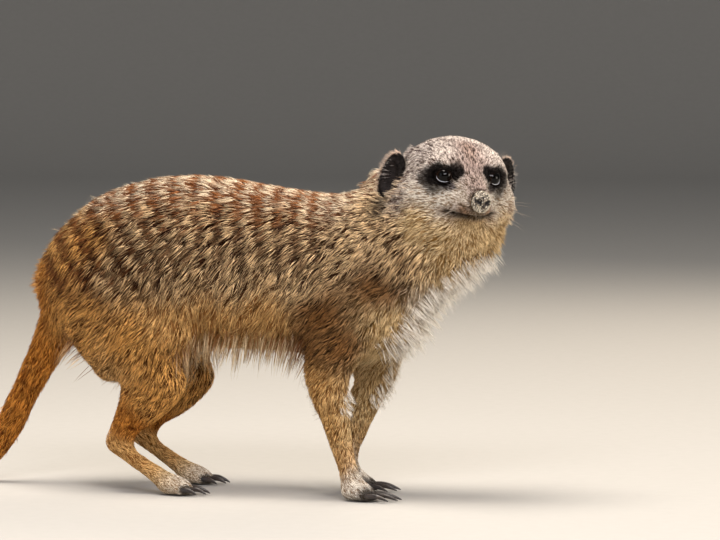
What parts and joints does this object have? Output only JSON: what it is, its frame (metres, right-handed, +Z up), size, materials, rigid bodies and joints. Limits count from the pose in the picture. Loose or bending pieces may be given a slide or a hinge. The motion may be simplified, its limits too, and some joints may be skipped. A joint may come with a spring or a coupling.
{
  "type": "meerkat",
  "caption": "Life-size still meerkat standing on all fours, head turned to its right, long tail hanging from the rump and lying on the floor behind.",
  "frame": {"origin": "middle of the whole animal's box in plan, on the floor under its feet", "axes": "+X towards the chest and head, +Y to the animal's left, +Z up"},
  "size_m": [0.4226, 0.091, 0.2085],
  "materials": {
    "coat_head": "short speckled grey-brown fur",
    "coat_muzzle": "very short whitish grey fur",
    "nose_pad": "bare black skin dusted with pale sand",
    "ear_hair": "short black hair over thin skin",
    "eyeball": "wet, near black",
    "coat_neck": "dense grizzled fur, straw below",
    "coat_trunk": "long grizzled fur with dark broken bands",
    "coat_rump": "long coarse red-brown and golden fur",
    "coat_limb": "golden tan fur with dark tips",
    "coat_foot": "short pale fur",
    "coat_tail": "short orange-gold fur, dark at the tip",
    "claw_horn": "dark horn with paler tips"
  },
  "bodies": {
    "root": {"belly": "coat_trunk", "chest": "coat_trunk", "claw_fore_left_1": "claw_horn", "claw_fore_left_2": "claw_horn", "claw_fore_left_3": "claw_horn", "claw_fore_left_4": "claw_horn", "claw_fore_right_1": "claw_horn", "claw_fore_right_2": "claw_horn", "claw_fore_right_3": "claw_horn", "claw_fore_right_4": "claw_horn", "claw_hind_left_1": "claw_horn", "claw_hind_left_2": "claw_horn", "claw_hind_left_3": "claw_horn", "claw_hind_left_4": "claw_horn", "claw_hind_right_1": "claw_horn", "claw_hind_right_2": "claw_horn", "claw_hind_right_3": "claw_horn", "claw_hind_right_4": "claw_horn", "ear_left": "ear_hair", "ear_right": "ear_hair", "eye_left": "eyeball", "eye_right": "eyeball", "forearm_left": "coat_limb", "forearm_right": "coat_limb", "forepaw_left": "coat_foot", "forepaw_right": "coat_foot", "head": "coat_head", "hindfoot_left": "coat_foot", "hindfoot_right": "coat_foot", "muzzle": "coat_muzzle", "neck": "coat_neck", "nose": "nose_pad", "rump": "coat_rump", "shank_left": "coat_limb", "shank_right": "coat_limb", "tail_base": "coat_tail", "tail_lower": "coat_tail", "tail_tip": "coat_tail", "tail_upper": "coat_tail", "thigh_left": "coat_limb", "thigh_right": "coat_limb", "upper_arm_left": "coat_limb", "upper_arm_right": "coat_limb"}
  },
  "joints": []
}
